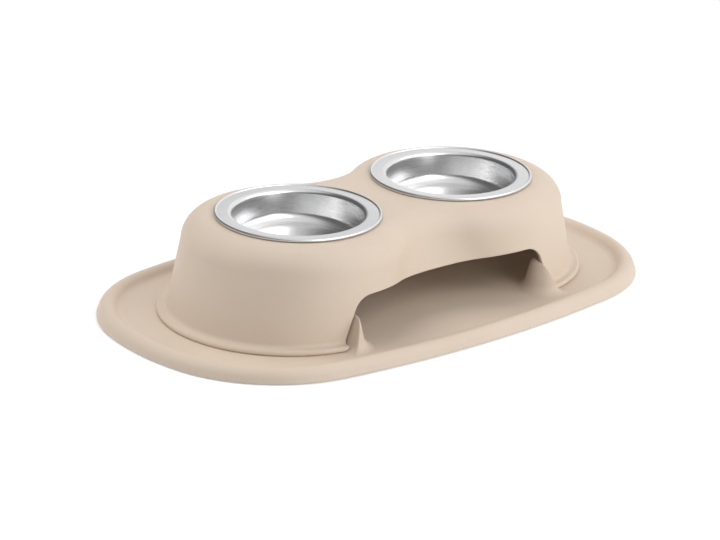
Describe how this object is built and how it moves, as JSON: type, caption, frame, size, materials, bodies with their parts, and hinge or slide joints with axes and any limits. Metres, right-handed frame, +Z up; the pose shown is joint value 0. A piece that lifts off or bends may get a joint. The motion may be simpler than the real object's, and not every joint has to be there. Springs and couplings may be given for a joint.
{
  "type": "double pet bowl",
  "caption": "Low double pet feeder: two shallow steel bowls hang in a two-tower moulded stand that sits over bosses on a rimmed drip mat.",
  "frame": {"origin": "on the ground, under the middle of the mat", "axes": "+X along the length, from the left bowl to the right bowl; +Z up; the front is -Y"},
  "size_m": [0.5, 0.298, 0.089],
  "materials": {
    "moulded_plastic": "soft satin, fine moulded grain",
    "steel": "spun and brushed, polished rolled edge",
    "foot_rubber": "matte",
    "pad_rubber": "matte"
  },
  "bodies": {
    "base": {"mat": "moulded_plastic", "mat_foot_1": "foot_rubber", "mat_foot_2": "foot_rubber", "mat_foot_3": "foot_rubber", "mat_foot_4": "foot_rubber", "mat_foot_5": "foot_rubber", "mat_foot_6": "foot_rubber", "mat_foot_7": "foot_rubber", "mat_foot_8": "foot_rubber"},
    "stand": {"stand": "moulded_plastic", "left_rim_pad_1": "pad_rubber", "left_rim_pad_2": "pad_rubber", "left_rim_pad_3": "pad_rubber", "left_rim_pad_4": "pad_rubber", "right_rim_pad_1": "pad_rubber", "right_rim_pad_2": "pad_rubber", "right_rim_pad_3": "pad_rubber", "right_rim_pad_4": "pad_rubber"},
    "left_bowl": {"bowl_left": "steel"},
    "right_bowl": {"bowl_right": "steel"}
  },
  "joints": [
    {"name": "stand_lift", "type": "slide", "parent": "base", "child": "stand", "axis": [0, 0, 1], "range_m": [0, 0.06]},
    {"name": "left_bowl_lift", "type": "slide", "parent": "stand", "child": "left_bowl", "axis": [0, 0, 1], "range_m": [0, 0.045]},
    {"name": "right_bowl_lift", "type": "slide", "parent": "stand", "child": "right_bowl", "axis": [0, 0, 1], "range_m": [0, 0.045]}
  ]
}
